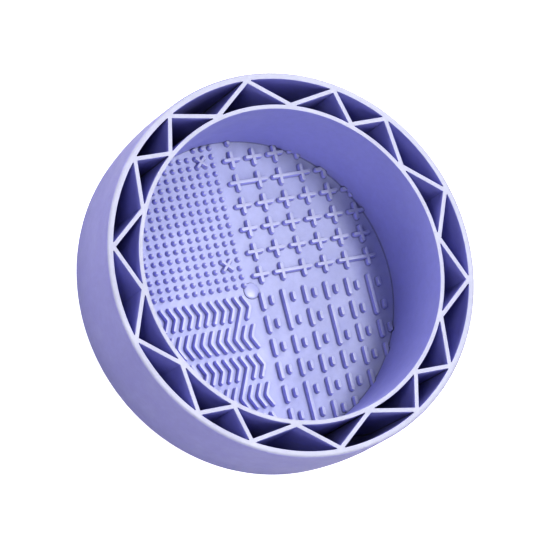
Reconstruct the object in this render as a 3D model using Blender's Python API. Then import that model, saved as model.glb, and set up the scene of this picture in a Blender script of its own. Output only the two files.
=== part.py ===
"""Brush cleaning bowl: a double-walled silicone bowl with a textured scrubbing floor.

The real bowl is a single soft moulding. It is modelled here zone by zone: the base disc, the
outer wall with its rounded heel, the inner wall, the zigzag of dividers that makes the drying
pockets between the walls, the four textured pads of the floor, and the small boss in the middle.

Metres, +Z up. The origin is on the resting plane, on the bowl's axis. +X and +Y are the lines
that part the four pads.
"""

import math

import bmesh
import bpy
from mathutils import Matrix, Vector

MM = 0.001
GAP = 0.3 * MM                    # between neighbouring zones
SEGMENTS = 72                     # around each turned shape

# Overall shape
HEIGHT = 40.0 * MM
BASE_RADIUS = 53.3 * MM           # flat part of the underside
HEEL_RADIUS = 10.0 * MM           # rounded corner from the base up into the wall
BARREL_RADIUS = 64.7 * MM         # the outer wall's widest radius
BARREL_HEIGHT = 26.5 * MM         # from here up the outer wall is upright
BARREL_CURVE = 134.7 * MM         # radius of the outer wall's curve below that, in side view
RIM_SHOULDER = 0.9 * MM           # rounding of the rim's outside
SHOULDER_STEPS = 3
EDGE_BREAK = 0.4 * MM             # broken edges of the inner ring of the rim
HEEL_STEPS = 6                    # flats along the heel's arc, outside
HEEL_INSIDE_STEPS = 5             # and inside
WALL_STEPS = 5                    # flats up the wall

# Walls and pockets
OUTER_WALL_INSIDE_TOP = 62.5 * MM
OUTER_WALL_INSIDE_FOOT = 61.6 * MM
HEEL_SKIN = 2.0 * MM              # thickness of the heel under the pockets
INNER_WALL_OUTSIDE_TOP = 53.8 * MM
INNER_WALL_OUTSIDE_FOOT = 54.0 * MM
INNER_WALL_INSIDE_TOP = 52.3 * MM
INNER_WALL_INSIDE_FOOT = 51.5 * MM
DIVIDER_THICKNESS = 1.5 * MM
DIVIDER_OVERRUN = 6.0 * MM        # each divider is drawn this much too long, then trimmed
OUTER_VERTEX_RADIUS = 62.5 * MM   # where two dividers meet at the outer wall
INNER_VERTEX_RADIUS = 53.9 * MM   # where two dividers meet at the inner wall
WIDE_STEP = 14.34                 # degrees that a divider spans around the axis
NARROW_STEP = (90.0 - 5 * WIDE_STEP) / 2

# Floor
BASE_THICKNESS = 1.7 * MM
FLOOR_TOP = 3.1 * MM
PAD_RADIUS = INNER_WALL_INSIDE_FOOT - GAP
BUMP_ROOT = 0.4 * MM              # how far a bump runs down into its pad
BUMP_DRAFT = 0.35 * MM            # how much a bump's outline shrinks from root to top
BUMP_CEILING = 10.0 * MM          # above the floor, higher than any bump
CORNER_CUT = 0.6                  # share of a bar's half width that is cut off at its corners
INNER_ARC_STEPS = 2               # flats along a pad's small arc around the boss
CLIP_INSET = 0.05 * MM            # a hair, so that no two faces share a plane
BOSS_RADIUS = 2.8 * MM
BOSS_RISE = 0.6 * MM
BOSS_STEPS = 4

# Dots
DOT_PITCH = 3.0 * MM
DOT_START = (2.3 * MM, 2.15 * MM)
DOT_COUNT = 17
DOT_RADIUS = 0.9 * MM
DOT_TOP_RADIUS = 0.4 * MM
DOT_RISE = 1.6 * MM
DOT_SIDES = 6
DOT_LINKS = ((1, 2), (1, 14))     # column and row of the first of the four dots joined by an X
DOT_LINK_WIDTH = 1.2 * MM
DOT_LINK_RISE = 1.35 * MM

# Crosses
CROSS_PITCH = 8.0 * MM
CROSS_START = (4.35 * MM, 4.75 * MM)
CROSS_COUNT = (6, 7)              # columns along X, rows along Y
CROSS_SPAN = (6.7 * MM, 6.4 * MM)     # of the arms along X and along Y
CROSS_WIDTH = 1.8 * MM
CROSS_RISE = 1.9 * MM
CROSS_LINKS = ((1, 0), (4, 0), (0, 4), (2, 4))   # column and row of a cross joined to the next

# Chevrons
CHEVRON_PITCH = 3.0 * MM
CHEVRON_ROW_PITCH = 10.0 * MM
CHEVRON_FIRST_ROW = 5.31 * MM
CHEVRON_REACH = 4.2 * MM          # from the bend to the end of an arm, along Y
CHEVRON_LEAN = 0.49               # how far an arm runs along X for each step along Y
CHEVRON_STARTS = (2.52 * MM, 4.49 * MM)          # X of the first bend in even and odd rows
CHEVRON_WIDTH = 1.5 * MM
CHEVRON_RISE = 1.8 * MM
CHEVRON_ROWS = 5
CHEVRON_COUNT = 17
CHEVRON_LINKS = ((0, 1, 2), (2, 2, 3))           # even row, its chevron, next row's chevron

# Bars and studs
BAR_PITCH = 8.0 * MM
BAR_START = (2.71 * MM, 4.3 * MM)
BAR_COUNT = (6, 7)
BAR_LENGTH = 6.45 * MM
BAR_WIDTH = 1.8 * MM
BAR_RISE = 1.9 * MM
STUD_START = 6.12 * MM
STUD_LENGTH = 3.45 * MM
STUD_WIDTH = 1.7 * MM
LONG_BARS = ((1, 0), (1, 4), (3, 1), (5, 0))     # column and row of a bar that spans two rows

# Finishes
SILICONE = (0.40, 0.40, 0.76)
SILICONE_PALE = (0.46, 0.46, 0.82)
SILICONE_DEEP = (0.33, 0.33, 0.68)
WALL_ROUGHNESS = 0.5
FLOOR_ROUGHNESS = 0.45


def clear_scene():
    for obj in list(bpy.data.objects):
        bpy.data.objects.remove(obj, do_unlink=True)


def silicone(name, colour, roughness):
    """A soft-touch moulded silicone."""
    made = bpy.data.materials.new(name)
    made.use_nodes = True
    shader = made.node_tree.nodes["Principled BSDF"]
    shader.inputs["Base Color"].default_value = (*colour, 1.0)
    shader.inputs["Roughness"].default_value = roughness
    shader.inputs["Metallic"].default_value = 0.0
    return made


def add_object(name, bm, finish=None):
    """Turns the bmesh into an object. Without a finish it is a hidden helper."""
    bmesh.ops.recalc_face_normals(bm, faces=bm.faces)
    mesh = bpy.data.meshes.new(name)
    bm.to_mesh(mesh)
    bm.free()
    obj = bpy.data.objects.new(name, mesh)
    bpy.context.scene.collection.objects.link(obj)
    if finish is None:
        obj.hide_render = True
        obj.display_type = "WIRE"
    else:
        mesh.materials.append(finish)
    return obj


def smooth(obj, sharp_degrees=30.0):
    obj.data.shade_smooth()
    obj.data.set_sharp_from_angle(angle=math.radians(sharp_degrees))


def turned(name, outline, finish=None):
    """A closed (radius, height) outline spun around Z."""
    bm = bmesh.new()
    ring = [bm.verts.new((radius, 0.0, height)) for radius, height in outline]
    edges = [bm.edges.new((ring[i - 1], ring[i])) for i in range(len(ring))]
    bmesh.ops.spin(
        bm,
        geom=ring + edges,
        cent=(0.0, 0.0, 0.0),
        axis=(0.0, 0.0, 1.0),
        angle=2 * math.pi,
        steps=SEGMENTS,
        use_merge=True,
    )
    bmesh.ops.remove_doubles(bm, verts=bm.verts, dist=0.001 * MM)
    obj = add_object(name, bm, finish)
    if finish is not None:
        smooth(obj)
    return obj


def arc(centre, radius, start, end, steps):
    """Points on an arc in the (radius, height) plane, in degrees from the outward direction."""
    angles = [math.radians(start + (end - start) * i / steps) for i in range(steps + 1)]
    return [
        (centre[0] + radius * math.cos(a), centre[1] + radius * math.sin(a)) for a in angles
    ]


def add_boolean(obj, helper, operation):
    cut = obj.modifiers.new(operation.title(), "BOOLEAN")
    cut.operation = operation
    cut.object = helper
    cut.solver = "EXACT"


# Turned zones


def barrel_radius(height):
    """Outer radius of the outer wall, which curves in towards its foot."""
    below = max(BARREL_HEIGHT - height, 0.0)
    return BARREL_RADIUS - below**2 / (2 * BARREL_CURVE)


def heel_end_degrees():
    """Where the heel's arc runs smoothly into the wall, below the horizontal."""
    return -math.degrees(math.atan((BARREL_HEIGHT - HEEL_RADIUS) / BARREL_CURVE))


def inner_wall_outside(height):
    share = height / HEIGHT
    return INNER_WALL_OUTSIDE_FOOT + share * (INNER_WALL_OUTSIDE_TOP - INNER_WALL_OUTSIDE_FOOT)


def make_base(finish):
    outline = [
        (0.0, 0.0),
        (BASE_RADIUS, 0.0),
        (BASE_RADIUS, BASE_THICKNESS),
        (0.0, BASE_THICKNESS),
    ]
    turned("base_disc", outline, finish)


def make_outer_wall(finish):
    heel_centre = (BASE_RADIUS + GAP, HEEL_RADIUS)
    heel = arc(heel_centre, HEEL_RADIUS, -90.0, heel_end_degrees(), HEEL_STEPS)
    top = HEIGHT - RIM_SHOULDER
    first = heel[-1][1]
    heights = [first + (top - first) * i / WALL_STEPS for i in range(1, WALL_STEPS + 1)]
    wall = [(barrel_radius(height), height) for height in heights]
    shoulder = arc((BARREL_RADIUS - RIM_SHOULDER, top), RIM_SHOULDER, 0.0, 90.0, SHOULDER_STEPS)
    rim = shoulder[1:] + [(OUTER_WALL_INSIDE_TOP, HEIGHT)]
    inside = arc(heel_centre, HEEL_RADIUS - HEEL_SKIN, 0.0, -90.0, HEEL_INSIDE_STEPS)
    # The wall's straight inside meets the heel at the height of the heel's centre.
    inside[0] = (OUTER_WALL_INSIDE_FOOT, HEEL_RADIUS)
    turned("outer_wall", heel + wall + rim + inside, finish)


def make_inner_wall(finish):
    foot = BASE_THICKNESS + GAP
    top = HEIGHT - EDGE_BREAK
    outline = [
        (BASE_RADIUS, foot),
        (inner_wall_outside(foot) - GAP, foot + EDGE_BREAK),
        (inner_wall_outside(HEIGHT), top),
        (inner_wall_outside(HEIGHT) - EDGE_BREAK, HEIGHT),
        (INNER_WALL_INSIDE_TOP + EDGE_BREAK, HEIGHT),
        (INNER_WALL_INSIDE_TOP, top),
        (INNER_WALL_INSIDE_FOOT, foot),
    ]
    turned("inner_wall", outline, finish)


def make_boss(finish):
    """The low dome in the middle of the floor."""
    foot = BASE_THICKNESS + GAP
    turns = [math.pi / 2 * i / BOSS_STEPS for i in range(BOSS_STEPS)]
    dome = [
        (BOSS_RADIUS * math.cos(a), FLOOR_TOP + BOSS_RISE * math.sin(a)) for a in turns
    ]
    outline = [(0.0, foot), (BOSS_RADIUS, foot)] + dome + [(0.0, FLOOR_TOP + BOSS_RISE)]
    turned("centre_boss", outline, finish)


# Zigzag dividers


def pocket_space():
    """The turned space between the walls, a gap smaller all round: a helper that trims dividers."""
    centre = (BASE_RADIUS + GAP, HEEL_RADIUS)
    foot_arc = arc(centre, HEEL_RADIUS - HEEL_SKIN - GAP, -90.0, 0.0, HEEL_STEPS)
    # Its ends are moved onto the two walls.
    foot_arc[0] = (inner_wall_outside(foot_arc[0][1]) + GAP, foot_arc[0][1])
    foot_arc[-1] = (OUTER_WALL_INSIDE_FOOT - GAP, HEEL_RADIUS)
    outline = foot_arc + [
        (OUTER_WALL_INSIDE_TOP - GAP, HEIGHT),
        (inner_wall_outside(HEIGHT) + GAP, HEIGHT),
    ]
    return turned("pocket_space", outline)


def on_circle(radius, degrees):
    a = math.radians(degrees)
    return Vector((radius * math.cos(a), radius * math.sin(a), 0.0))


def divider_body(start, end):
    """A straight upright panel between two (radius, degrees) corners of the zigzag."""
    first = on_circle(*start)
    last = on_circle(*end)
    along = last - first
    size = (along.length + 2 * DIVIDER_OVERRUN, DIVIDER_THICKNESS, 2 * HEIGHT)
    bm = bmesh.new()
    bmesh.ops.create_cube(bm, size=1.0)
    turn = Matrix.Rotation(math.atan2(along.y, along.x), 4, "Z")
    place = Matrix.Translation((first + last) / 2 + Vector((0.0, 0.0, HEIGHT / 2)))
    bm.transform(place @ turn @ Matrix.Diagonal((*size, 1.0)))
    for degrees, side in ((start[1], -1.0), (end[1], 1.0)):
        # Each end stops half a gap short of the radial plane through its corner.
        normal = on_circle(side, degrees + 90.0)
        bmesh.ops.bisect_plane(
            bm,
            geom=bm.verts[:] + bm.edges[:] + bm.faces[:],
            plane_co=-normal * GAP / 2,
            plane_no=normal,
            clear_outer=True,
        )
        bmesh.ops.holes_fill(bm, edges=bm.edges)
    return bm


def zigzag_corners():
    """(radius, degrees) of the corners around the bowl, inner and outer in turn."""
    quarter = [WIDE_STEP] * 3 + [NARROW_STEP] * 2 + [WIDE_STEP] * 2
    steps = (quarter + quarter[::-1]) * 2
    corners = []
    degrees = 0.0
    for index, step in enumerate(steps):
        radius = OUTER_VERTEX_RADIUS if index % 2 else INNER_VERTEX_RADIUS
        corners.append((radius, degrees))
        degrees += step
    return corners + [(INNER_VERTEX_RADIUS, 360.0)]


def make_dividers(finish):
    space = pocket_space()
    corners = zigzag_corners()
    for index in range(len(corners) - 1):
        name = f"divider_{index + 1:02d}"
        panel = add_object(name, divider_body(corners[index], corners[index + 1]), finish)
        add_boolean(panel, space, "INTERSECT")


# Scrubbing pads


def add_prism(bm, low, high, floor, top):
    """A closed solid between a low and a high outline with the same number of points."""
    below = [bm.verts.new((x, y, floor)) for x, y in low]
    above = [bm.verts.new((x, y, top)) for x, y in high]
    bm.faces.new(below)
    bm.faces.new(above)
    for i in range(len(below)):
        bm.faces.new((below[i - 1], below[i], above[i], above[i - 1]))


def quarter_outline(inner, outer, half_gap):
    """A quarter ring in the +X +Y quadrant, kept half a gap off both axes."""
    points = []
    for radius, steps, back in ((inner, INNER_ARC_STEPS, False), (outer, SEGMENTS // 4, True)):
        edge = math.asin(half_gap / radius)
        span = math.pi / 2 - 2 * edge
        sweep = [edge + span * i / steps for i in range(steps + 1)]
        if back:
            sweep.reverse()
        points += [(radius * math.cos(a), radius * math.sin(a)) for a in sweep]
    return points


def bar_outline(centre, length, width, degrees, shrink=0.0):
    """A bar with cut corners, turned by some degrees from +X."""
    half = length / 2 - shrink
    side = width / 2 - shrink
    cut = side * CORNER_CUT
    corners = [
        (half, side - cut),
        (half - cut, side),
        (cut - half, side),
        (-half, side - cut),
        (-half, cut - side),
        (cut - half, -side),
        (half - cut, -side),
        (half, cut - side),
    ]
    a = math.radians(degrees)
    return [
        (
            centre[0] + x * math.cos(a) - y * math.sin(a),
            centre[1] + x * math.sin(a) + y * math.cos(a),
        )
        for x, y in corners
    ]


def cross_outline(centre, shrink=0.0):
    half = CROSS_WIDTH / 2 - shrink
    points = []
    for turn in range(4):
        a = math.pi / 2 * turn
        reach = CROSS_SPAN[turn % 2] / 2 - shrink
        corner = [(reach, -half), (reach, half), (half, half)]
        points += [
            (
                centre[0] + x * math.cos(a) - y * math.sin(a),
                centre[1] + x * math.sin(a) + y * math.cos(a),
            )
            for x, y in corner
        ]
    return points


def round_outline(centre, radius, sides):
    return [
        (
            centre[0] + radius * math.cos(2 * math.pi * i / sides),
            centre[1] + radius * math.sin(2 * math.pi * i / sides),
        )
        for i in range(sides)
    ]


def chevron_outline(bend, lean, reach, width, shrink=0.0):
    """A V lying on its side: its bend, how its arms lean along X, and their reach along Y."""
    end = reach - shrink
    half = (width / 2 - shrink) * math.hypot(1.0, lean)
    x, y = bend
    return [
        (x - half, y),
        (x - half + lean * end, y + end),
        (x + half + lean * end, y + end),
        (x + half, y),
        (x + half + lean * end, y - end),
        (x - half + lean * end, y - end),
    ]


def make_pad(name, quadrant, layers, finish):
    """A quarter of the floor with its bumps.

    quadrant holds the signs of X and Y. layers are meshes of bumps drawn in the +X +Y quadrant:
    the bumps of one layer stand clear of one another.
    """
    mirror = Matrix.Diagonal((quadrant[0], quadrant[1], 1.0, 1.0))
    inner = BOSS_RADIUS + GAP
    bm = bmesh.new()
    outline = quarter_outline(inner, PAD_RADIUS, GAP / 2)
    add_prism(bm, outline, outline, BASE_THICKNESS + GAP, FLOOR_TOP)
    bm.transform(mirror)
    pad = add_object(name, bm, finish)

    bm = bmesh.new()
    outline = quarter_outline(
        inner + CLIP_INSET, PAD_RADIUS - CLIP_INSET, GAP / 2 + CLIP_INSET
    )
    add_prism(bm, outline, outline, FLOOR_TOP - 2 * BUMP_ROOT, FLOOR_TOP + BUMP_CEILING)
    bm.transform(mirror)
    column = add_object(name + "_limit", bm)

    for number, layer in enumerate(layers):
        layer.transform(mirror)
        bumps = add_object(f"{name}_bumps_{number}", layer)
        add_boolean(bumps, column, "INTERSECT")
        add_boolean(pad, bumps, "UNION")
    smooth(pad)


def grid(start, pitch, columns, rows, limit):
    """(column, row, x, y) of the points of a square grid that lie within a radius."""
    for row in range(rows):
        for column in range(columns):
            x = start[0] + pitch * column
            y = start[1] + pitch * row
            if math.hypot(x, y) < limit:
                yield column, row, x, y


def add_bar(bm, centre, length, width, rise):
    """A bar along Y."""
    low = bar_outline(centre, length, width, 90.0)
    high = bar_outline(centre, length, width, 90.0, BUMP_DRAFT)
    add_prism(bm, low, high, FLOOR_TOP - BUMP_ROOT, FLOOR_TOP + rise)


def add_link(bm, start, end, width, rise):
    """A straight rib from one point to another, a hair lower and deeper than what it joins."""
    length = math.dist(start, end)
    centre = ((start[0] + end[0]) / 2, (start[1] + end[1]) / 2)
    degrees = math.degrees(math.atan2(end[1] - start[1], end[0] - start[0]))
    low = bar_outline(centre, length, width, degrees)
    high = bar_outline(centre, length, width, degrees, BUMP_DRAFT)
    root = FLOOR_TOP - BUMP_ROOT - CLIP_INSET
    add_prism(bm, low, high, root, FLOOR_TOP + rise - CLIP_INSET)


def dot_layers():
    dots = bmesh.new()
    limit = PAD_RADIUS - DOT_TOP_RADIUS
    for _column, _row, x, y in grid(DOT_START, DOT_PITCH, DOT_COUNT, DOT_COUNT, limit):
        low = round_outline((x, y), DOT_RADIUS, DOT_SIDES)
        high = round_outline((x, y), DOT_TOP_RADIUS, DOT_SIDES)
        add_prism(dots, low, high, FLOOR_TOP - BUMP_ROOT, FLOOR_TOP + DOT_RISE)
    rising = bmesh.new()
    falling = bmesh.new()
    for column, row in DOT_LINKS:
        x = DOT_START[0] + DOT_PITCH * column
        y = DOT_START[1] + DOT_PITCH * row
        far_x = x + DOT_PITCH
        far_y = y + DOT_PITCH
        add_link(rising, (x, y), (far_x, far_y), DOT_LINK_WIDTH, DOT_LINK_RISE)
        low_rise = DOT_LINK_RISE - CLIP_INSET
        add_link(falling, (x, far_y), (far_x, y), DOT_LINK_WIDTH + CLIP_INSET, low_rise)
    return [dots, rising, falling]


def cross_layers():
    crosses = bmesh.new()
    limit = PAD_RADIUS + max(CROSS_SPAN) / 2
    for _column, _row, x, y in grid(CROSS_START, CROSS_PITCH, *CROSS_COUNT, limit):
        low = cross_outline((x, y))
        high = cross_outline((x, y), BUMP_DRAFT)
        add_prism(crosses, low, high, FLOOR_TOP - BUMP_ROOT, FLOOR_TOP + CROSS_RISE)
    links = bmesh.new()
    for column, row in CROSS_LINKS:
        x = CROSS_START[0] + CROSS_PITCH * column
        y = CROSS_START[1] + CROSS_PITCH * row
        width = CROSS_WIDTH - 2 * CLIP_INSET
        add_link(links, (x, y), (x + CROSS_PITCH, y), width, CROSS_RISE)
    return [crosses, links]


def chevron_bend(row, index):
    x = CHEVRON_STARTS[row % 2] + CHEVRON_PITCH * index
    return x, CHEVRON_FIRST_ROW + CHEVRON_ROW_PITCH * row


def chevron_layers():
    chevrons = bmesh.new()
    for row in range(CHEVRON_ROWS):
        lean = -CHEVRON_LEAN if row % 2 else CHEVRON_LEAN
        for index in range(CHEVRON_COUNT):
            bend = chevron_bend(row, index)
            if math.hypot(*bend) > PAD_RADIUS + CHEVRON_REACH:
                continue
            low = chevron_outline(bend, lean, CHEVRON_REACH, CHEVRON_WIDTH)
            high = chevron_outline(bend, lean, CHEVRON_REACH, CHEVRON_WIDTH, BUMP_DRAFT)
            add_prism(chevrons, low, high, FLOOR_TOP - BUMP_ROOT, FLOOR_TOP + CHEVRON_RISE)
    links = bmesh.new()
    for row, index, next_index in CHEVRON_LINKS:
        start = chevron_bend(row, index)
        end = chevron_bend(row + 1, next_index)
        add_link(links, start, end, CHEVRON_WIDTH - 2 * CLIP_INSET, CHEVRON_RISE)
    return [chevrons, links]


def bar_layers():
    bars = bmesh.new()
    limit = PAD_RADIUS + BAR_LENGTH / 2
    second_halves = [(column, row + 1) for column, row in LONG_BARS]
    for column, row, x, y in grid(BAR_START, BAR_PITCH, *BAR_COUNT, limit):
        if (column, row) in LONG_BARS:
            centre = (x, y + BAR_PITCH / 2)
            add_bar(bars, centre, BAR_LENGTH + BAR_PITCH, BAR_WIDTH, BAR_RISE)
        elif (column, row) not in second_halves:
            add_bar(bars, (x, y), BAR_LENGTH, BAR_WIDTH, BAR_RISE)
    limit = PAD_RADIUS + STUD_LENGTH / 2
    for _column, _row, x, y in grid((STUD_START, BAR_START[1]), BAR_PITCH, *BAR_COUNT, limit):
        add_bar(bars, (x, y), STUD_LENGTH, STUD_WIDTH, BAR_RISE)
    return [bars]


def main():
    clear_scene()
    make_base(silicone("base_silicone", SILICONE_DEEP, WALL_ROUGHNESS))
    make_outer_wall(silicone("outer_wall_silicone", SILICONE, WALL_ROUGHNESS))
    make_inner_wall(silicone("inner_wall_silicone", SILICONE, WALL_ROUGHNESS))
    make_dividers(silicone("divider_silicone", SILICONE_DEEP, WALL_ROUGHNESS))
    make_boss(silicone("boss_silicone", SILICONE_PALE, FLOOR_ROUGHNESS))
    pads = (
        ("dot", (1, -1), dot_layers()),
        ("cross", (-1, -1), cross_layers()),
        ("chevron", (1, 1), chevron_layers()),
        ("bar", (-1, 1), bar_layers()),
    )
    for kind, quadrant, layers in pads:
        finish = silicone(f"{kind}_silicone", SILICONE_PALE, FLOOR_ROUGHNESS)
        make_pad(f"{kind}_pad", quadrant, layers, finish)


main()
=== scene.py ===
"""The looks of the brush cleaning bowl: one soft lavender silicone moulding with a scrubbing floor.

The bowl's skin is one continuous mesh, as on the real moulding: outer wall, rim, zigzag web with
its 28 blind pockets, inner wall and floor. The floor's bumps are one piece for each quarter,
and the boss in its middle is a piece too.
Metres, +Z up, in the frame of the CAD model.
"""

import math

import bpy
import numpy as np
from mathutils import Matrix, Vector
from mathutils.geometry import delaunay_2d_cdt


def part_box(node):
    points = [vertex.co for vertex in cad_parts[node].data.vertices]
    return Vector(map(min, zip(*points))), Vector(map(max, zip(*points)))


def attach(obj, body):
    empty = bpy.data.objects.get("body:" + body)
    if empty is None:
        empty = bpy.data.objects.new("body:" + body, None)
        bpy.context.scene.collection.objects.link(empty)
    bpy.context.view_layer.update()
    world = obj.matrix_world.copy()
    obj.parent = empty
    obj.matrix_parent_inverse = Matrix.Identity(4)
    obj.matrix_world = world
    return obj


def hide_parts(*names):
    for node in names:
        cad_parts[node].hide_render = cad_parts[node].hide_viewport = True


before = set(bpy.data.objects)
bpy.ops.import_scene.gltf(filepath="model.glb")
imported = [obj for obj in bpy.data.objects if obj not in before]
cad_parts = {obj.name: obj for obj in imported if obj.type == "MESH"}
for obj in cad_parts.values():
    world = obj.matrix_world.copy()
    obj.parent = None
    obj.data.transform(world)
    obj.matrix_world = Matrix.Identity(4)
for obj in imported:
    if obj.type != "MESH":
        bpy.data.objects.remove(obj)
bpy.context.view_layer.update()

MM = 0.001
SHARP_ANGLE = 38.0                # degrees between faces, from which an edge is left sharp
SLICE = 0.1 * MM                  # height range in which a radius of a CAD node is read

# Turned skin
AROUND = 336                      # steps around the axis
CAD_GAP = 0.3 * MM                # between neighbouring CAD nodes
HEEL_RADIUS = 10.0 * MM
BARREL_HEIGHT = 26.5 * MM         # from here up the outer wall is upright
BARREL_CURVE = 134.7 * MM         # radius of its curve below that, in side view
OUTER_EDGE = 0.9 * MM             # rounding of the rim's outside
INNER_EDGE = 0.2 * MM             # rounding of the rim's inside and of the web's edges
EDGE_STEPS = 5
HEEL_STEPS = 14
OUTER_WALL_STEPS = 16
INNER_WALL_STEPS = 12
FLAT_MERGE = 1e-9                 # distance within which points of the rim's flat are merged
FLOOR_FILLET = 0.12 * MM
FLOOR_FILLET_STEPS = 5
FLOOR_STEPS = 8

# Zigzag web
WIDE_STEP = 14.34                 # degrees that a divider spans
NARROW_STEP = (90.0 - 5 * WIDE_STEP) / 2
WEB_TOP = 1.5 * MM                # divider thickness at the rim
WEB_FOOT = 1.9 * MM
OUTER_VERTEX = 62.5 * MM          # radius of the zigzag's outer corners
INNER_VERTEX = 53.9 * MM
POCKET_DRAFT = 0.2 * MM           # how far the inner wall's outside widens down to the heel
POCKET_FILLET = 0.12 * MM
POCKET_FILLET_STEPS = 4
POCKET_LEVELS = 10
POCKET_ARC_STEPS = 14
FILLET_AIM = 1 / 12               # share of a pocket's arc whose chord its fillets touch
HEEL_SKIN = 2.0 * MM              # between the outside of the heel and the pockets
HEEL_REACH = 0.995                # how far out the pockets' bottoms follow the heel's curve

# Bumps
RIB_EDGE = 0.16 * MM              # rounding along the top of a rib
DOT_CROWN = (0.42 * MM, 0.65 * MM)    # width and height of a dot's rounded top
CROWN_STEPS = 6
FOOT_FLARE = 0.06 * MM
DRAFT = 0.27 * MM                 # how much a bump narrows below its rounded top
SKIRT = 0.25 * MM                 # how far a bump runs down into the floor
CAP_STEPS = 9                     # of the half circle at the end of a rib
WALL_BITE = 0.4 * MM              # how far the line of a rib may run into the bowl's wall
SHORTEST = 0.02 * MM              # line that still becomes a rib, and half the line of a dot

DOT_PITCH = 3.0 * MM
DOT_START = (2.3 * MM, 2.15 * MM)
DOT_COUNT = 17
DOT_WIDTH = 1.85 * MM
DOT_RISE = 1.6 * MM
DOT_LINKS = ((1, 2), (1, 14))     # column and row of the first of four dots, joined by an X
DOT_LINK_WIDTH = 0.8 * DOT_WIDTH
DOT_LINK_RISES = (1.1 * DOT_RISE, 1.08 * DOT_RISE)

CROSS_PITCH = 8.0 * MM
CROSS_START = (4.35 * MM, 4.75 * MM)
CROSS_COUNT = (6, 7)              # columns along X, rows along Y
CROSS_SPAN = (6.7 * MM, 6.4 * MM)     # of the arms along X and along Y
CROSS_WIDTH = 1.75 * MM
CROSS_RISE = 1.9 * MM
CROSS_STEP = 0.01 * MM            # the arms along Y are this much lower
CROSS_LINKS = ((1, 0), (4, 0), (0, 4), (2, 4))

CHEVRON_PITCH = 3.0 * MM
CHEVRON_ROW_PITCH = 10.0 * MM
CHEVRON_FIRST_ROW = 5.31 * MM
CHEVRON_HALF_SPAN = 3.6 * MM
CHEVRON_EVEN_START = (2.52 * MM, 4.28 * MM)     # X of the bend and of the ends
CHEVRON_ODD_START = (4.49 * MM, 2.73 * MM)
CHEVRON_WIDTH = 1.45 * MM
CHEVRON_BEND = 1.2 * MM           # radius of the rounded bend
BEND_STEPS = 3
CHEVRON_RISE = 1.8 * MM
CHEVRON_ROWS = 5
CHEVRON_COUNT = 17
CHEVRON_LINKS = ((0, 1, 2), (2, 2, 3))

BAR_PITCH = 8.0 * MM
BAR_START = (2.71 * MM, 4.3 * MM)
BAR_COUNT = (6, 7)
BAR_LENGTH = 6.4 * MM
BAR_WIDTH = 1.75 * MM
BAR_RISE = 1.9 * MM
STUD_START = 6.12 * MM
STUD_LENGTH = 3.4 * MM
STUD_WIDTH = 1.65 * MM
LONG_BARS = ((1, 0), (1, 4), (3, 1), (5, 0))

BOSS_RISE = 0.5 * MM
BOSS_EDGE = 0.12 * MM             # height of its upright edge
BOSS_FULLNESS = 0.8               # below 1 the dome is fuller than an ellipse
BOSS_STEPS = 8
BOSS_AROUND = 64
BOSS_GROOVE = 0.06 * MM           # width and depth of the fine groove around the boss

# Sockets of Blender's mix node that hold colours
MIX_FIRST = 6
MIX_SECOND = 7
MIX_RESULT = 2

# Silicone. Colours are linear, and a pair of limits runs from no effect to the full effect.
FLOOR_COLOUR = (0.328, 0.343, 0.508)
# Flat faces above the floor are painted paler than it: painted light on the tops.
LIT_RIM_COLOUR = (0.355, 0.360, 0.452)
LIT_BUMP_COLOUR = (0.376, 0.386, 0.521)
LIT_CHEVRON_COLOUR = (0.425, 0.435, 0.545)
BOSS_COLOUR = (0.305, 0.317, 0.495)
# Upright faces are painted darker and bluer than flat ones: painted shade.
SHADED_WALL_COLOUR = (0.330, 0.331, 0.665)
SHADED_BUMP_SIDE_COLOUR = (0.365, 0.366, 0.720)
# The outside and the pockets of the shell are painted darker than the inner wall: painted shade.
SHADED_OUTSIDE_COLOUR = (0.292, 0.283, 0.570)
SHADED_POCKET_COLOUR = (0.26, 0.26, 0.60)
SHELL_FINISH = (0.5, 0.25)        # roughness, and strength of the moulded grain
BUMP_FINISH = (0.45, 0.15)
BOSS_FINISH = (0.33, 0.05)
RAISED = (0.9 * MM, 1.4 * MM)     # height above the floor, over which flat faces turn to the paler painted-light colour
UPRIGHT = (0.9, 0.4)              # Z of the normal, over which faces turn to the darker, bluer painted-shade colour of upright faces
PAINTED_LIGHT_FACTOR = 1.09                # painted light: lightens the floor on the +X side
PAINTED_LIGHT_X = (-4.0 * MM, 4.0 * MM)
WALL_SHADOW_COLOUR = (0.245, 0.255, 0.53)    # painted shade, bluer, on flat faces beside the wall on the -X side, where its shadow falls
WALL_SHADOW_X = (-38.0 * MM, -50.0 * MM)
WALL_SHADOW_HEIGHT = (5.0 * MM, 4.0 * MM)    # above the floor
FOOT_SHADE = 0.55                 # of an upright face at the floor, against its top
FOOT_REACH = 1.1 * MM
POCKET_EDGE = 0.2 * MM            # width of the change to the painted-shade colour of the pockets
OUTSIDE_EDGE = (0.1 * MM, 0.3 * MM)   # out from the pockets, to the colour of the outside
CREASE_REACH = 0.6 * MM
CREASE_SHADE = 0.3
CREASE_RANGE = (0.3, 0.85)        # openness of a crease in full shade and in none
CREASE_SAMPLES = 8
SMUDGE_COLOUR = (0.6, 0.62, 0.78)
SMUDGE_SHARE = 0.08
SMUDGE_RANGE = (0.52, 0.72)
SMUDGE_NOISE = (60.0, 5.0, 0.6)   # scale, detail and roughness
MOTTLE_NOISE = (420.0, 5.0, 0.7)
MOTTLE = 0.03                     # how much the colour varies either way
GLOSS_NOISE = (90.0, 3.0, 0.6)
GLOSS = 0.07                      # how much the roughness varies either way
NOISE_RANGE = (0.35, 0.65)        # where most of a noise lies
GRAIN_NOISE = (2600.0, 2.0, 0.6)
GRAIN_SHARE = 0.35                # of the fine grain, against the broad one
BROAD_NOISE = (220.0, 2.0, 0.5)
GRAIN_DEPTH = 0.05 * MM
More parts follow.
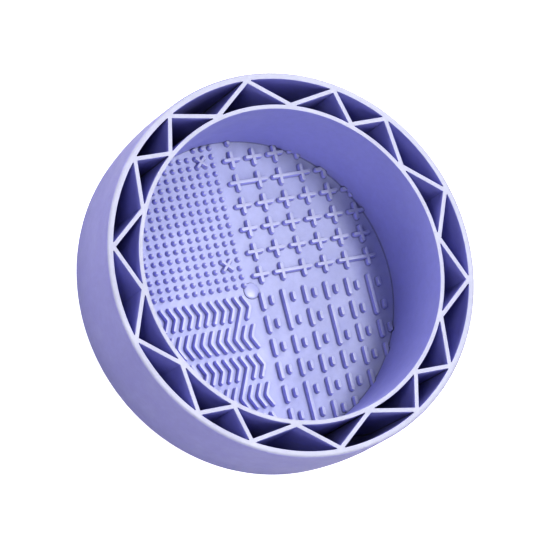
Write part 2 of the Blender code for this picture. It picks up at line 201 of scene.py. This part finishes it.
SILICONE_BODY = {
    "Subsurface Weight": 0.12,
    "Subsurface Radius": (1.0, 0.95, 1.3),
    "Subsurface Scale": 0.8 * MM,
    "Specular IOR Level": 0.4,
    "Sheen Weight": 0.03,
    "Sheen Roughness": 0.5,
}

# Camera
CAMERA_AZIMUTH = 21.41            # degrees, as for the lights
CAMERA_ELEVATION = 63.10
CAMERA_ROLL = 56.39
CAMERA_DISTANCE = 1477.7 * MM
CAMERA_TARGET = (9.82 * MM, -0.46 * MM)   # at the rim's height
CAMERA_LENS = 307.87
CAMERA_SENSOR = 36.0
CAMERA_CLIP = (0.05, 20.0)

# Studio
SKY_COLOUR = (0.96, 0.97, 1.0, 1.0)
SKY_STRENGTH = 0.02
VIEW_GAMMA = 0.77
SOFTBOX_SIZE = 0.5
KEY_SIZE = 0.3
SOFTBOX_DISTANCE = 1.2
SOFTBOXES = (                     # name, azimuth and elevation in degrees, size, watts
    ("key", 183.5, 72.8, KEY_SIZE, 10.5),
    ("high_far", 180.0, 56.0, SOFTBOX_SIZE, 1.35),
    ("high_back", 120.0, 56.0, SOFTBOX_SIZE, 1.93),
    ("high_side", 240.0, 56.0, SOFTBOX_SIZE, 3.59),
    ("high_front", 0.0, 56.0, SOFTBOX_SIZE, 4.98),
    ("high_left", 60.0, 56.0, SOFTBOX_SIZE, 0.9),
    ("low_back", 225.0, 32.0, SOFTBOX_SIZE, 6.88),
    ("low_far", 135.0, 32.0, SOFTBOX_SIZE, 0.94),
    ("low_left", 90.0, 32.0, SOFTBOX_SIZE, 3.24),
    ("low_front", 45.0, 32.0, SOFTBOX_SIZE, 0.8),
    ("rim_light", 300.0, 12.0, SOFTBOX_SIZE, 6.79),
    ("rim_fill", 30.0, 12.0, SOFTBOX_SIZE, 2.09),
)
PAPER = {
    "Base Color": (0.6, 0.6, 0.61),
    "Roughness": 0.9,
    "Specular IOR Level": 0.1,
    "Emission Color": (1.0, 1.0, 1.0),
}
PAPER_SPAN = 6.0                  # from the middle to a side
SHADOW_LIGHTNESS = 0.92           # how pale the paper stays where it is in shadow
PAPER_DROP = 0.05 * MM            # how far the paper lies below the bowl's base


# Sizes read from the CAD nodes


def corner_radii(node, low, high):
    """Smallest and largest radius of the node's corners between two heights."""
    corners = [v.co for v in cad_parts[node].data.vertices]
    radii = [math.hypot(co.x, co.y) for co in corners if low <= co.z <= high]
    return min(radii), max(radii)


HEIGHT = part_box("outer_wall")[1].z
MID = HEIGHT / 2
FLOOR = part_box("dot_pad")[1].z - DOT_RISE
BARREL_RADIUS = corner_radii("outer_wall", 0.0, HEIGHT)[1]
BASE_RADIUS = corner_radii("base_disc", 0.0, HEIGHT)[1] + CAD_GAP
WEB_OUTSIDE_TOP = corner_radii("outer_wall", HEIGHT - SLICE, HEIGHT)[0]
WEB_OUTSIDE_FOOT = corner_radii("outer_wall", HEEL_RADIUS - SLICE, HEEL_RADIUS + SLICE)[0]
WEB_INSIDE = corner_radii("inner_wall", MID, HEIGHT)[1]
BOWL_TOP = corner_radii("inner_wall", MID, HEIGHT - SLICE)[0]
BOWL_FOOT = corner_radii("inner_wall", 0.0, MID)[0]
BOSS_RADIUS = corner_radii("centre_boss", 0.0, HEIGHT)[1]
RIB_LIMIT = BOWL_FOOT + WALL_BITE      # radius at which the line of a rib is cut off


# Mesh helpers


def add_to_scene(name, data):
    obj = bpy.data.objects.new(name, data)
    bpy.context.scene.collection.objects.link(obj)
    return obj


class Builder:
    """Collects the vertices and faces of one mesh."""

    def __init__(self):
        self.vertices = []
        self.faces = []

    def add(self, points):
        """Adds points and returns their numbers."""
        first = len(self.vertices)
        self.vertices.extend(points)
        return list(range(first, len(self.vertices)))

    def skin(self, loops):
        """Joins closed loops, each to the next. Seen from outside, the first is the lowest."""
        for lower, upper in zip(loops, loops[1:]):
            for i in range(len(lower)):
                self.faces.append((lower[i - 1], lower[i], upper[i], upper[i - 1]))

    def cap(self, loop):
        """Closes a loop with one face."""
        self.faces.append(tuple(loop))

    def fan(self, loop, centre):
        """Closes a loop with triangles around a new point."""
        middle = self.add([centre])[0]
        for i in range(len(loop)):
            self.faces.append((loop[i - 1], loop[i], middle))

    def piece(self, name):
        """The finished object, shaded smooth except at its sharp edges."""
        mesh = bpy.data.meshes.new(name)
        mesh.from_pydata([tuple(v) for v in self.vertices], [], self.faces)
        mesh.validate()
        mesh.update()
        obj = add_to_scene(name, mesh)
        mesh.shade_smooth()
        mesh.set_sharp_from_angle(angle=math.radians(SHARP_ANGLE))
        return obj


def quarter_round(radius, steps):
    """(inset, drop) pairs of a rounded edge, from the flat top to the upright side."""
    turns = [math.pi / 2 * i / steps for i in range(steps + 1)]
    return [(radius * (1 - math.sin(a)), radius * (1 - math.cos(a))) for a in turns]


def circle_points(radius, height, steps=AROUND):
    turns = [2 * math.pi * i / steps for i in range(steps)]
    return [(radius * math.cos(a), radius * math.sin(a), height) for a in turns]


def polar(radius, radians):
    return np.array([radius * math.cos(radians), radius * math.sin(radians)])


def unit(vector):
    return vector / np.linalg.norm(vector)


def turned(vector, radians):
    """The 2D vector turned counterclockwise."""
    turn = [[math.cos(radians), -math.sin(radians)], [math.sin(radians), math.cos(radians)]]
    return np.array(turn) @ vector


def cross_2d(a, b):
    return a[0] * b[1] - a[1] * b[0]


# Bowl shell


def barrel_radius(height):
    """Radius of the outer wall's outside."""
    below = max(BARREL_HEIGHT - height, 0.0)
    return BARREL_RADIUS - below**2 / (2 * BARREL_CURVE)


def outer_outline():
    """(radius, height) of the outside, from the base up to the rim's flat."""
    lean = math.atan((BARREL_HEIGHT - HEEL_RADIUS) / BARREL_CURVE)
    outline = []
    for i in range(HEEL_STEPS + 1):
        a = -math.pi / 2 + (math.pi / 2 - lean) * i / HEEL_STEPS
        outline.append(
            (BASE_RADIUS + HEEL_RADIUS * math.cos(a), HEEL_RADIUS + HEEL_RADIUS * math.sin(a))
        )
    first = outline[-1][1]
    last = HEIGHT - OUTER_EDGE
    for i in range(1, OUTER_WALL_STEPS):
        height = first + (last - first) * i / OUTER_WALL_STEPS
        outline.append((barrel_radius(height), height))
    rim = barrel_radius(HEIGHT)
    for inset, drop in reversed(quarter_round(OUTER_EDGE, EDGE_STEPS)):
        outline.append((rim - inset, HEIGHT - drop))
    return outline


def inner_outline():
    """(radius, height) of the bowl's inside, from the rim's flat down to the floor."""
    outline = [
        (BOWL_TOP + inset, HEIGHT - drop) for inset, drop in quarter_round(INNER_EDGE, EDGE_STEPS)
    ]
    foot = FLOOR + FLOOR_FILLET
    top = outline[-1][1]
    for i in range(1, INNER_WALL_STEPS + 1):
        share = i / INNER_WALL_STEPS
        outline.append((BOWL_TOP + share * (BOWL_FOOT - BOWL_TOP), top + share * (foot - top)))
    for i in range(1, FLOOR_FILLET_STEPS + 1):
        a = math.pi / 2 * i / FLOOR_FILLET_STEPS
        inset = FLOOR_FILLET * (1 - math.cos(a))
        outline.append((BOWL_FOOT - inset, foot - FLOOR_FILLET * math.sin(a)))
    return outline


def zigzag_corners():
    """(radius, radians) of the web's corners, inner and outer in turn."""
    quarter = [WIDE_STEP] * 3 + [NARROW_STEP] * 2 + [WIDE_STEP] * 2
    corners = []
    degrees = 0.0
    for index, step in enumerate((quarter + quarter[::-1]) * 2):
        corners.append((OUTER_VERTEX if index % 2 else INNER_VERTEX, math.radians(degrees)))
        degrees += step
    return corners


CORNERS = zigzag_corners()


def meet(point_a, along_a, point_b, along_b):
    """Where two straight lines cross."""
    t = cross_2d(point_b - point_a, along_b) / cross_2d(along_a, along_b)
    return point_a + t * along_a


def on_ring(point, along, radius):
    """Where a straight line, followed forwards from inside or outside, crosses a circle."""
    along = unit(along)
    middle = float(point @ along)
    depth = float(point @ point) - radius * radius
    root = math.sqrt(middle * middle - depth)
    roots = [t for t in (-middle - root, -middle + root) if t > 0]
    return point + min(roots) * along


def fillet(before, corner, after, radius, steps):
    """Points of the arc that rounds a corner between two straight sides."""
    back = unit(before - corner)
    on = unit(after - corner)
    half = math.acos(max(-1.0, min(1.0, float(back @ on)))) / 2
    centre = corner + unit(back + on) * radius / math.sin(half)
    start = corner + back * radius / math.tan(half) - centre
    end = corner + on * radius / math.tan(half) - centre
    sweep = math.atan2(cross_2d(start, end), float(start @ end))
    return [centre + turned(start, sweep * i / steps) for i in range(steps + 1)]


def turns_between(start, end):
    """Angle of the first point, and how far to turn from there to the second."""
    first = math.atan2(start[1], start[0])
    return first, math.remainder(math.atan2(end[1], end[0]) - first, 2 * math.pi)


def pocket_outline(index, half_web, inside, outside, radius):
    """One pocket's rounded outline, counterclockwise, between two rings of the given radii.

    Its tip lies in the zigzag's corner of that index, and its other end along a ring.
    """
    apex = polar(*CORNERS[index])
    points_out = CORNERS[index][0] == OUTER_VERTEX
    sides = []
    for step in (-1, 1):
        along = unit(polar(*CORNERS[(index + step) % len(CORNERS)]) - apex)
        normal = np.array([-along[1], along[0]]) * (step if points_out else -step)
        sides.append((apex + normal * half_web, along))
    tip = meet(*sides[0], *sides[1])
    ring = inside if points_out else outside
    ends = [on_ring(tip, along, ring) for _start, along in sides]
    begin, sweep = turns_between(*ends)
    first_aim = polar(ring, begin + sweep * FILLET_AIM)
    last_aim = polar(ring, begin + sweep * (1 - FILLET_AIM))
    tip_arc = fillet(ends[1], tip, ends[0], radius, POCKET_FILLET_STEPS)
    first_arc = fillet(tip, ends[0], first_aim, radius, POCKET_FILLET_STEPS)
    last_arc = fillet(last_aim, ends[1], tip, radius, POCKET_FILLET_STEPS)
    begin, sweep = turns_between(first_arc[-1], last_arc[0])
    shares = [i / POCKET_ARC_STEPS for i in range(1, POCKET_ARC_STEPS)]
    ring_arc = [polar(ring, begin + sweep * share) for share in shares]
    outline = tip_arc + first_arc + ring_arc + last_arc
    area = sum(cross_2d(outline[i - 1], outline[i]) for i in range(len(outline)))
    return outline if area > 0 else outline[::-1]


def heel_floor(radius):
    """Height of a pocket's bottom, which follows the heel's curve."""
    inner = HEEL_RADIUS - HEEL_SKIN
    reach = min(max(radius - BASE_RADIUS, 0.0), inner * HEEL_REACH)
    return HEEL_RADIUS - math.sqrt(inner * inner - reach * reach)


def add_pocket(mesh, index):
    """Adds a pocket and returns its loop on the rim's flat."""
    loops = []
    for inset, drop in quarter_round(INNER_EDGE, EDGE_STEPS):
        outline = pocket_outline(
            index,
            WEB_TOP / 2 - inset,
            WEB_INSIDE - inset,
            WEB_OUTSIDE_TOP + inset,
            POCKET_FILLET + inset,
        )
        loops.append(mesh.add([(x, y, HEIGHT - drop) for x, y in outline]))
    top = HEIGHT - INNER_EDGE
    for level in range(1, POCKET_LEVELS + 1):
        share = level / POCKET_LEVELS
        outline = pocket_outline(
            index,
            (WEB_TOP + share * (WEB_FOOT - WEB_TOP)) / 2,
            WEB_INSIDE + share * POCKET_DRAFT,
            WEB_OUTSIDE_TOP + share * (WEB_OUTSIDE_FOOT - WEB_OUTSIDE_TOP),
            POCKET_FILLET,
        )
        points = []
        for x, y in outline:
            bottom = heel_floor(math.hypot(x, y))
            points.append((x, y, top + share * (bottom - top)))
        loops.append(mesh.add(points))
    mesh.skin(loops)
    x, y, _height = np.mean([mesh.vertices[i] for i in loops[-1]], axis=0)
    mesh.fan(loops[-1], (x, y, heel_floor(math.hypot(x, y))))
    return loops[0]


def make_shell():
    """Underside, outer wall, rim, pockets, inner wall and floor as one closed skin."""
    mesh = Builder()
    outer = [mesh.add(circle_points(radius, height)) for radius, height in outer_outline()]
    mesh.skin(outer)
    mesh.fan(outer[0][::-1], (0.0, 0.0, 0.0))

    outline = inner_outline()
    foot = outline[-1][0]
    reach = foot - BOSS_RADIUS - BOSS_GROOVE
    groove = FLOOR - BOSS_GROOVE
    outline += [(foot - reach * i / FLOOR_STEPS, FLOOR) for i in range(1, FLOOR_STEPS + 1)]
    for radius in (BOSS_RADIUS + BOSS_GROOVE, BOSS_RADIUS, BOSS_RADIUS / 2):
        outline.append((radius, groove))
    inner = [mesh.add(circle_points(radius, height)) for radius, height in outline]
    mesh.skin(inner)
    mesh.fan(inner[-1], (0.0, 0.0, groove))

    pockets = [add_pocket(mesh, index) for index in range(len(CORNERS))]
    add_rim_flat(mesh, outer[-1], [inner[0]] + pockets)
    return mesh.piece("bowl_shell")


def inside_outline(points, outline):
    """Which of the points lie inside the closed outline."""
    found = np.zeros(len(points), bool)
    for a, b in zip(outline, np.roll(outline, -1, axis=0)):
        if a[1] != b[1]:
            crosses = (a[1] > points[:, 1]) != (b[1] > points[:, 1])
            at = a[0] + (points[:, 1] - a[1]) * (b[0] - a[0]) / (b[1] - a[1])
            found ^= crosses & (points[:, 0] < at)
    return found


def add_rim_flat(mesh, border, holes):
    """Fills the rim's flat face between its outer circle and the holes in it."""
    loops = [border] + holes
    numbers = [number for loop in loops for number in loop]
    flat = [Vector(mesh.vertices[number][:2]) for number in numbers]
    edges = []
    first = 0
    for loop in loops:
        size = len(loop)
        edges += [(first + i, first + (i + 1) % size) for i in range(size)]
        first += size
    points, _edges, faces, origin, _eo, _fo = delaunay_2d_cdt(flat, edges, [], 0, FLAT_MERGE)
    centres = np.array([sum((points[i] for i in face), Vector((0, 0))) / 3 for face in faces])
    keep = np.ones(len(faces), bool)
    for hole in holes:
        keep &= ~inside_outline(centres, np.array([mesh.vertices[i][:2] for i in hole]))
    for face, kept in zip(faces, keep):
        if kept:
            mesh.cap(numbers[origin[i][0]] for i in face)


# Bumps


def stroke_outline(path, reach):
    """The outline, counterclockwise, at a distance from an open path of two or more points."""
    path = [np.array(point) for point in path]
    ways = [unit(b - a) for a, b in zip(path, path[1:])]
    sides = [np.array([-way[1], way[0]]) for way in ways]

    def corner(i, sign):
        middle = sides[i - 1] + sides[i]
        return path[i] + sign * reach * 2 * middle / float(middle @ middle)

    def end_cap(centre, start):
        turns = [-math.pi * i / CAP_STEPS for i in range(CAP_STEPS + 1)]
        return [centre + turned(start * reach, a) for a in turns]

    between = range(1, len(path) - 1)
    outline = [corner(i, 1.0) for i in between]
    outline += end_cap(path[-1], sides[-1])
    outline += [corner(i, -1.0) for i in reversed(between)]
    outline += end_cap(path[0], -sides[0])
    return outline[::-1]


def add_bump(mesh, path, width, rise, signs, crown=(RIB_EDGE, RIB_EDGE)):
    """A bump along the path, drawn in the +X +Y quarter and mirrored by the signs."""
    half = width / 2
    crown_width, crown_height = crown
    levels = [(half + FOOT_FLARE, -SKIRT), (half + FOOT_FLARE, 0.0), (half, FOOT_FLARE)]
    for i in range(CROWN_STEPS + 1):
        a = math.pi / 2 * i / CROWN_STEPS
        reach = half - DRAFT - crown_width * (1 - math.cos(a))
        levels.append((reach, rise - crown_height * (1 - math.sin(a))))
    flip = signs[0] * signs[1] < 0
    loops = []
    for reach, height in levels:
        outline = stroke_outline(path, reach)
        points = [(x * signs[0], y * signs[1], FLOOR + height) for x, y in outline]
        loops.append(mesh.add(points[::-1] if flip else points))
    mesh.skin(loops)
    mesh.cap(loops[0][::-1])
    mesh.cap(loops[-1])


def within_bowl(path):
    """The stretches of a path that lie inside the bowl's wall."""
    stretches = [[]]
    for start, end in zip(path, path[1:]):
        start, end = np.array(start), np.array(end)
        way = end - start
        a = float(way @ way)
        b = float(start @ way)
        c = float(start @ start) - RIB_LIMIT**2
        root = math.sqrt(max(b * b - a * c, 0.0))
        first = max(0.0, (-b - root) / a)
        last = min(1.0, (-b + root) / a)
        if (last - first) * math.sqrt(a) < SHORTEST:
            stretches.append([])
            continue
        if first > 0.0:
            stretches.append([])
        if not stretches[-1]:
            stretches[-1].append(start + first * way)
        stretches[-1].append(start + last * way)
        if last < 1.0:
            stretches.append([])
    return [stretch for stretch in stretches if stretch]


def add_rib(mesh, path, width, rise, signs):
    """A rib along the path, cut off where it meets the bowl's wall."""
    for stretch in within_bowl(path):
        add_bump(mesh, stretch, width, rise, signs)


def grid(start, pitch, columns, rows):
    """Column, row, X and Y of each place of a regular pattern."""
    for row in range(rows):
        for column in range(columns):
            yield column, row, start[0] + pitch * column, start[1] + pitch * row


def make_dots(signs):
    """Round dots, with a few foursomes of them joined by an X."""
    mesh = Builder()
    limit = BOWL_FOOT - DOT_WIDTH / 4
    for _column, _row, x, y in grid(DOT_START, DOT_PITCH, DOT_COUNT, DOT_COUNT):
        if math.hypot(x, y) < limit:
            path = [(x - SHORTEST, y), (x + SHORTEST, y)]
            add_bump(mesh, path, DOT_WIDTH, DOT_RISE, signs, DOT_CROWN)
    for column, row in DOT_LINKS:
        x = DOT_START[0] + DOT_PITCH * column
        y = DOT_START[1] + DOT_PITCH * row
        far_x = x + DOT_PITCH
        far_y = y + DOT_PITCH
        diagonals = ([(x, y), (far_x, far_y)], [(x, far_y), (far_x, y)])
        for path, rise in zip(diagonals, DOT_LINK_RISES):
            add_rib(mesh, path, DOT_LINK_WIDTH, rise, signs)
    return mesh.piece("dot_texture")


def make_crosses(signs):
    """Pluses. Where a link joins a plus to the next one, their arms along X are one long rib."""
    mesh = Builder()
    reach_x, reach_y = [(span - CROSS_WIDTH) / 2 for span in CROSS_SPAN]
    linked_ends = [(column + 1, row) for column, row in CROSS_LINKS]
    for column, row, x, y in grid(CROSS_START, CROSS_PITCH, *CROSS_COUNT):
        upright = [(x, y - reach_y), (x, y + reach_y)]
        add_rib(mesh, upright, CROSS_WIDTH, CROSS_RISE - CROSS_STEP, signs)
        if (column, row) in linked_ends:
            continue
        far = x + reach_x + (CROSS_PITCH if (column, row) in CROSS_LINKS else 0.0)
        add_rib(mesh, [(x - reach_x, y), (far, y)], CROSS_WIDTH, CROSS_RISE, signs)
    return mesh.piece("cross_texture")


def chevron_points(row, index):
    """A chevron's line: its near end, the arc of its bend, and its far end."""
    bend, ends = CHEVRON_ODD_START if row % 2 else CHEVRON_EVEN_START
    shift = CHEVRON_PITCH * index
    y = CHEVRON_FIRST_ROW + CHEVRON_ROW_PITCH * row
    near = (ends + shift, y - CHEVRON_HALF_SPAN)
    far = (ends + shift, y + CHEVRON_HALF_SPAN)
    corner = np.array((bend + shift, y))
    arc = fillet(np.array(near), corner, np.array(far), CHEVRON_BEND, BEND_STEPS)
    return [near] + [tuple(point) for point in arc] + [far]


def make_chevrons(signs):
    """Rows of chevrons. A linked pair of them is one rib with two bends."""
    mesh = Builder()
    linked = []
    for row, index, next_index in CHEVRON_LINKS:
        linked += [(row, index), (row + 1, next_index)]
        first = chevron_points(row, index)
        second = chevron_points(row + 1, next_index)
        path = first[: BEND_STEPS + 1] + second[-BEND_STEPS - 1 :]
        add_rib(mesh, path, CHEVRON_WIDTH, CHEVRON_RISE, signs)
    for row in range(CHEVRON_ROWS):
        for index in range(CHEVRON_COUNT):
            if (row, index) not in linked:
                path = chevron_points(row, index)
                add_rib(mesh, path, CHEVRON_WIDTH, CHEVRON_RISE, signs)
    return mesh.piece("chevron_texture")


def make_bars(signs):
    """Bars and, between their columns, short studs. A long bar takes the place of two."""
    mesh = Builder()
    second_halves = [(column, row + 1) for column, row in LONG_BARS]
    reach = (BAR_LENGTH - BAR_WIDTH) / 2
    for column, row, x, y in grid(BAR_START, BAR_PITCH, *BAR_COUNT):
        if (column, row) in second_halves:
            continue
        far = y + reach + (BAR_PITCH if (column, row) in LONG_BARS else 0.0)
        add_rib(mesh, [(x, y - reach), (x, far)], BAR_WIDTH, BAR_RISE, signs)
    reach = (STUD_LENGTH - STUD_WIDTH) / 2
    for _column, _row, x, y in grid((STUD_START, BAR_START[1]), BAR_PITCH, *BAR_COUNT):
        add_rib(mesh, [(x, y - reach), (x, y + reach)], STUD_WIDTH, BAR_RISE, signs)
    return mesh.piece("bar_texture")


def make_boss():
    """The low dome in the middle of the floor."""
    mesh = Builder()
    levels = [(BOSS_RADIUS, -SKIRT), (BOSS_RADIUS, 0.0), (BOSS_RADIUS, BOSS_EDGE)]
    for i in range(1, BOSS_STEPS):
        a = math.pi / 2 * (i / BOSS_STEPS)
        rise = BOSS_EDGE + (BOSS_RISE - BOSS_EDGE) * math.sin(a) ** BOSS_FULLNESS
        levels.append((BOSS_RADIUS * math.cos(a), rise))
    loops = [mesh.add(circle_points(radius, FLOOR + rise, BOSS_AROUND)) for radius, rise in levels]
    mesh.skin(loops)
    mesh.cap(loops[0][::-1])
    mesh.fan(loops[-1], (0.0, 0.0, FLOOR + BOSS_RISE))
    return mesh.piece("centre_boss_dome")


# Materials


class Shading:
    """The nodes of a new material, and short ways to add the kinds used here."""

    def __init__(self, name):
        self.material = bpy.data.materials.new(name)
        self.material.use_nodes = True
        self.tree = self.material.node_tree

    def feed(self, socket, value):
        """Links the socket to another node's output, or sets it to a plain value."""
        if isinstance(value, bpy.types.NodeSocket):
            self.tree.links.new(value, socket)
        elif socket.type == "RGBA":
            socket.default_value = (*value, 1.0)
        else:
            socket.default_value = value

    def node(self, kind, output, inputs, **settings):
        """Adds a node and returns one of its outputs. Inputs go by name or number."""
        made = self.tree.nodes.new("ShaderNode" + kind)
        for setting, value in settings.items():
            setattr(made, setting, value)
        for socket, value in inputs.items():
            self.feed(made.inputs[socket], value)
        return made.outputs[output]

    def noise(self, place, scale, detail, roughness):
        settings = {"Vector": place, "Scale": scale, "Detail": detail, "Roughness": roughness}
        return self.node("TexNoise", "Fac", settings)

    def ramp(self, source, limits, start=0.0, end=1.0):
        """Runs from start to end while the source runs from the first limit to the second."""
        low, high = limits
        inputs = {"From Min": low, "From Max": high, "To Min": start, "To Max": end}
        return self.node("MapRange", "Result", {"Value": source, **inputs})

    def blend(self, share, first, second):
        """Mixes two colours."""
        colours = {MIX_FIRST: first, MIX_SECOND: second}
        return self.node("Mix", MIX_RESULT, {"Factor": share, **colours}, data_type="RGBA")

    def scaled(self, colour, factor):
        inputs = {0: colour, "Scale": factor}
        return self.node("VectorMath", "Vector", inputs, operation="SCALE")

    def finish(self, inputs):
        """Feeds the material's own shader and returns the material."""
        for socket, value in inputs.items():
            self.feed(self.tree.nodes["Principled BSDF"].inputs[socket], value)
        return self.material


def above_floor(heights):
    return [FLOOR + height for height in heights]


def times(colour, factor):
    return tuple(factor * value for value in colour)


def silicone(name, low, high, side, finish, outside=None, pocket_shade=None):
    """Soft-touch silicone with a fine moulded grain, pale smudges and painted shade in its creases.

    It has a colour for flat faces near the floor (low), a paler one for those above it (high),
    which is painted light, and one for upright faces (side), which is painted shade and darker
    still at their feet. Flat faces are painted paler towards +X, and near the floor a bluer
    painted shade beside the wall on the -X side. The shell also has painted-shade colours for its
    outside and its pockets.
    """
    shading = Shading(name)
    place = shading.node("TexCoord", "Object", {})
    height = shading.node("SeparateXYZ", "Z", {0: place})
    across = shading.node("SeparateXYZ", "X", {0: place})
    normal = shading.node("NewGeometry", "Normal", {})
    lean = shading.node("SeparateXYZ", "Z", {0: normal})

    # Painted light: flat faces grow paler towards +X.
    flat = shading.blend(shading.ramp(across, PAINTED_LIGHT_X), low, times(low, PAINTED_LIGHT_FACTOR))
    # Painted light: raised flat faces, the rim and the tops of the bumps, are paler.
    flat = shading.blend(shading.ramp(height, above_floor(RAISED)), flat, high)
    # Painted shade: flat faces near the floor by the wall on the -X side take a bluer colour.
    near_floor = shading.ramp(height, above_floor(WALL_SHADOW_HEIGHT))
    flat = shading.blend(shading.ramp(across, WALL_SHADOW_X, end=near_floor), flat, WALL_SHADOW_COLOUR)

    # Painted shade: upright faces grow darker towards their feet.
    rise = shading.ramp(height, above_floor((0.0, FOOT_REACH)))
    upright = shading.blend(rise, times(side, FOOT_SHADE), side)
    # Painted shade: the pockets and the outside of the shell take darker colours.
    if outside:
        without_height = {0: place, 1: (1.0, 1.0, 0.0)}
        spot = shading.node("VectorMath", "Vector", without_height, operation="MULTIPLY")
        radius = shading.node("VectorMath", "Value", {0: spot}, operation="LENGTH")
        in_pocket = shading.ramp(radius, (WEB_INSIDE - POCKET_EDGE, WEB_INSIDE))
        on_outside = shading.ramp(radius, [WEB_OUTSIDE_TOP + edge for edge in OUTSIDE_EDGE])
        upright = shading.blend(in_pocket, upright, pocket_shade)
        upright = shading.blend(on_outside, upright, outside)
    # Painted shade: leaning and upright faces take the darker, bluer colour.
    colour = shading.blend(shading.ramp(lean, UPRIGHT), flat, upright)

    smudge = shading.ramp(shading.noise(place, *SMUDGE_NOISE), SMUDGE_RANGE, end=SMUDGE_SHARE)
    colour = shading.blend(smudge, colour, SMUDGE_COLOUR)
    # Painted shade in creases: ambient occlusion darkens the colour near other faces.
    reach = {"Distance": CREASE_REACH}
    openness = shading.node("AmbientOcclusion", "AO", reach, samples=CREASE_SAMPLES)
    colour = shading.scaled(colour, shading.ramp(openness, CREASE_RANGE, CREASE_SHADE))
    mottle = shading.noise(place, *MOTTLE_NOISE)
    colour = shading.scaled(colour, shading.ramp(mottle, NOISE_RANGE, 1.0 - MOTTLE, 1.0 + MOTTLE))

    roughness, grain_strength = finish
    gloss = shading.noise(place, *GLOSS_NOISE)
    gloss = shading.ramp(gloss, NOISE_RANGE, roughness - GLOSS, roughness + GLOSS)
    fine = shading.noise(place, *GRAIN_NOISE)
    broad = shading.noise(place, *BROAD_NOISE)
    relief = {0: fine, 1: GRAIN_SHARE, 2: broad}
    grain = shading.node("Math", "Value", relief, operation="MULTIPLY_ADD")
    bump = {"Strength": grain_strength, "Distance": GRAIN_DEPTH, "Height": grain}
    normal = shading.node("Bump", "Normal", bump)
    return shading.finish(
        {"Base Color": colour, "Roughness": gloss, "Normal": normal, **SILICONE_BODY}
    )


def paper():
    """Matt white studio paper, kept so bright that the bowl hardly casts a shadow on it."""
    shading = Shading("pale_floor")
    seen = shading.node("LightPath", "Is Camera Ray", {})
    glow = shading.node("Math", "Value", {0: seen, 1: SHADOW_LIGHTNESS}, operation="MULTIPLY")
    return shading.finish({"Emission Strength": glow, **PAPER})


# Studio


def direction(azimuth, elevation):
    """Unit vector from angles in degrees, the azimuth turned from +X towards +Y."""
    turn = math.radians(azimuth)
    rise = math.radians(elevation)
    return Vector(
        (math.cos(rise) * math.cos(turn), math.cos(rise) * math.sin(turn), math.sin(rise))
    )


def softbox(name, azimuth, elevation, size, power):
    """A round soft light that faces the bowl."""
    light = bpy.data.lights.new(name, "AREA")
    light.shape = "DISK"
    light.size = size
    light.energy = power
    away = direction(azimuth, elevation)
    obj = add_to_scene(name, light)
    obj.location = Vector((0.0, 0.0, MID)) + away * SOFTBOX_DISTANCE
    obj.rotation_euler = away.to_track_quat("Z", "Y").to_euler()


def make_camera():
    """Looks steeply down at the bowl, rolled so that the bowl seems to lean."""
    camera = bpy.data.cameras.new("camera")
    camera.sensor_width = CAMERA_SENSOR
    camera.lens = CAMERA_LENS
    camera.clip_start, camera.clip_end = CAMERA_CLIP
    away = direction(CAMERA_AZIMUTH, CAMERA_ELEVATION)
    roll = math.radians(CAMERA_ROLL)
    level_right = Vector((0.0, 0.0, 1.0)).cross(away).normalized()
    level_up = away.cross(level_right)
    right = level_right * math.cos(roll) + level_up * math.sin(roll)
    turn = Matrix((right, away.cross(right), away)).transposed()
    target = Vector((*CAMERA_TARGET, HEIGHT))
    obj = add_to_scene("camera", camera)
    obj.matrix_world = Matrix.Translation(target + away * CAMERA_DISTANCE) @ turn.to_4x4()
    bpy.context.scene.camera = obj


def make_studio():
    """Paper, sky and lights."""
    mesh = bpy.data.meshes.new("studio_floor")
    sides = ((-1, -1), (1, -1), (1, 1), (-1, 1))
    mesh.from_pydata([(x * PAPER_SPAN, y * PAPER_SPAN, 0.0) for x, y in sides], [], [range(4)])
    mesh.materials.append(paper())
    floor = add_to_scene("studio_floor", mesh)
    floor.location.z = -PAPER_DROP

    world = bpy.data.worlds.new("studio_world")
    world.use_nodes = True
    sky = world.node_tree.nodes["Background"].inputs
    sky["Color"].default_value = SKY_COLOUR
    sky["Strength"].default_value = SKY_STRENGTH
    bpy.context.scene.world = world

    for light in SOFTBOXES:
        softbox(*light)
    view = bpy.context.scene.view_settings
    view.view_transform = "Standard"
    view.gamma = VIEW_GAMMA


def main():
    shell_silicone = silicone(
        "shell_silicone",
        FLOOR_COLOUR,
        LIT_RIM_COLOUR,
        SHADED_WALL_COLOUR,
        SHELL_FINISH,
        SHADED_OUTSIDE_COLOUR,
        SHADED_POCKET_COLOUR,
    )
    bump_colours = (FLOOR_COLOUR, LIT_BUMP_COLOUR, SHADED_BUMP_SIDE_COLOUR)
    chevron_colours = (FLOOR_COLOUR, LIT_CHEVRON_COLOUR, SHADED_BUMP_SIDE_COLOUR)
    bump_silicone = silicone("texture_silicone", *bump_colours, BUMP_FINISH)
    chevron_silicone = silicone("chevron_silicone", *chevron_colours, BUMP_FINISH)
    boss_silicone = silicone("boss_silicone", *[BOSS_COLOUR] * 3, BOSS_FINISH)

    dividers = [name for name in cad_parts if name.startswith("divider_")]
    shell_nodes = ("outer_wall", "inner_wall", "base_disc", *dividers)
    pieces = (                        # piece, the nodes it stands for, slot, material
        (make_shell(), shell_nodes, "outer_wall_silicone", shell_silicone),
        (make_dots((1, -1)), ("dot_pad",), "floor_silicone", bump_silicone),
        (make_crosses((-1, -1)), ("cross_pad",), "floor_silicone", bump_silicone),
        (make_chevrons((1, 1)), ("chevron_pad",), "floor_silicone", chevron_silicone),
        (make_bars((-1, 1)), ("bar_pad",), "floor_silicone", bump_silicone),
        (make_boss(), ("centre_boss",), "floor_silicone", boss_silicone),
    )
    for piece, nodes, slot, finish in pieces:
        piece.data.materials.append(finish)
        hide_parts(*nodes)
        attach(piece, "root")
    make_studio()
    make_camera()


main()
